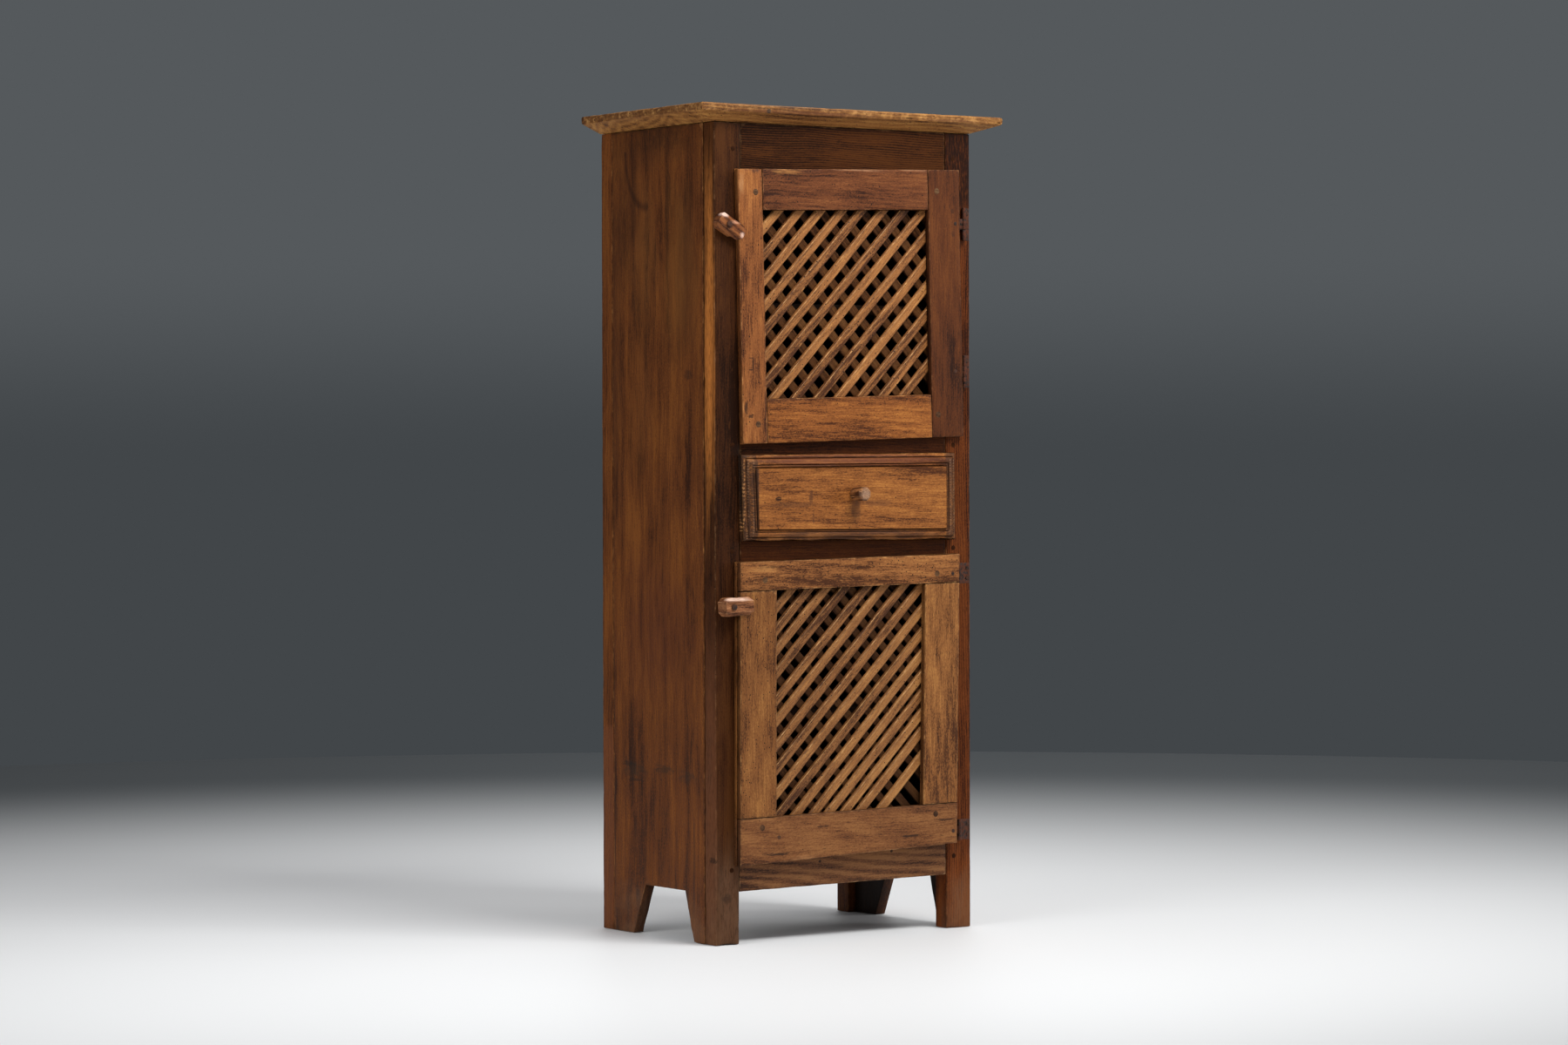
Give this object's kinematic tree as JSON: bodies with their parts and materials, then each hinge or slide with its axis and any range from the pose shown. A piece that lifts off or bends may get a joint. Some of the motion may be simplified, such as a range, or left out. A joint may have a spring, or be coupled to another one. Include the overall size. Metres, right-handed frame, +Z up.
{
  "type": "food cupboard with lattice doors",
  "caption": "Tall narrow pine food cupboard with slanted lattice doors, a drawer between them, wooden turn-buttons and arched side feet",
  "frame": {"origin": "on the floor, under the middle of the cupboard's box", "axes": "+Z up, -Y out of the doors and the drawer, +X to the right as one faces them, where the door hinges are"},
  "size_m": [0.6672, 0.4352, 1.501],
  "materials": {
    "top_wood": "worn, worm-eaten old pine, waxed",
    "side_wood": "dark stained old pine, worn",
    "frame_wood": "dark stained old pine, worn at the edges",
    "door_wood": "reddish brown old pine, waxed",
    "lattice_wood": "golden thin slats with worn edges",
    "drawer_wood": "golden old pine with darker mouldings",
    "inner_wood": "plain pine, darkened by age",
    "peg_wood": "darkened hardwood pegs",
    "button_wood": "whittled hardwood, worn bright on its edges",
    "knob_wood": "whittled hardwood, polished by hands",
    "old_iron": "hand-forged iron, dull brown rust"
  },
  "bodies": {
    "carcass": {"top_board": "top_wood", "left_side_board": "side_wood", "right_side_board": "side_wood", "left_front_post": "frame_wood", "right_front_post": "frame_wood", "left_rear_post": "side_wood", "right_rear_post": "side_wood", "front_top_rail": "frame_wood", "rail_above_drawer": "frame_wood", "rail_below_drawer": "frame_wood", "front_bottom_rail": "frame_wood", "rear_bottom_rail": "inner_wood", "rear_middle_rail": "inner_wood", "rear_top_rail": "inner_wood", "back_board_left": "inner_wood", "back_board_middle": "inner_wood", "back_board_right": "inner_wood", "bottom_board": "inner_wood", "upper_floor": "inner_wood", "lower_ceiling": "inner_wood", "upper_shelf": "inner_wood", "lower_shelf": "inner_wood", "shelf_cleats": "inner_wood", "drawer_kickers": "inner_wood", "drawer_runners": "inner_wood", "drawer_guides": "inner_wood", "carcass_pegs": "peg_wood", "carcass_nails": "old_iron", "hinge_post_leaves": "old_iron", "hinge_post_nails": "old_iron", "hinge_pins": "old_iron", "upper_button_nail": "old_iron", "lower_button_nail": "old_iron"},
    "upper_door": {"upper_door_left_stile": "door_wood", "upper_door_right_stile": "door_wood", "upper_door_top_rail": "door_wood", "upper_door_bottom_rail": "door_wood", "upper_door_front_slats": "lattice_wood", "upper_door_back_slats": "lattice_wood", "upper_door_pegs": "peg_wood", "upper_door_hinge_leaves": "old_iron", "upper_door_hinge_nails": "old_iron"},
    "lower_door": {"lower_door_left_stile": "door_wood", "lower_door_right_stile": "door_wood", "lower_door_top_rail": "door_wood", "lower_door_bottom_rail": "door_wood", "lower_door_front_slats": "lattice_wood", "lower_door_back_slats": "lattice_wood", "lower_door_pegs": "peg_wood", "lower_door_hinge_leaves": "old_iron", "lower_door_hinge_nails": "old_iron"},
    "drawer": {"drawer_front": "drawer_wood", "drawer_left_side": "inner_wood", "drawer_right_side": "inner_wood", "drawer_back": "inner_wood", "drawer_bottom": "inner_wood", "drawer_nails": "old_iron", "drawer_knob": "knob_wood"},
    "upper_button": {"upper_turn_button": "button_wood"},
    "lower_button": {"lower_turn_button": "button_wood"}
  },
  "joints": [
    {"name": "upper_door_hinge", "type": "hinge", "parent": "carcass", "child": "upper_door", "pos_m": [0.2591, -0.16655, 1.166], "axis": [0, 0, 1], "range_deg": [0, 165]},
    {"name": "lower_door_hinge", "type": "hinge", "parent": "carcass", "child": "lower_door", "pos_m": [0.2451, -0.16715, 0.42], "axis": [0, 0, 1], "range_deg": [0, 135]},
    {"name": "drawer_slide", "type": "slide", "parent": "carcass", "child": "drawer", "axis": [0, -1, 0], "range_m": [0, 0.24]},
    {"name": "upper_button_pivot", "type": "hinge", "parent": "carcass", "child": "upper_button", "pos_m": [-0.2719, -0.16115, 1.287], "axis": [0, 1, 0], "continuous": true},
    {"name": "lower_button_pivot", "type": "hinge", "parent": "carcass", "child": "lower_button", "pos_m": [-0.2696, -0.16115, 0.605], "axis": [0, 1, 0], "continuous": true}
  ]
}
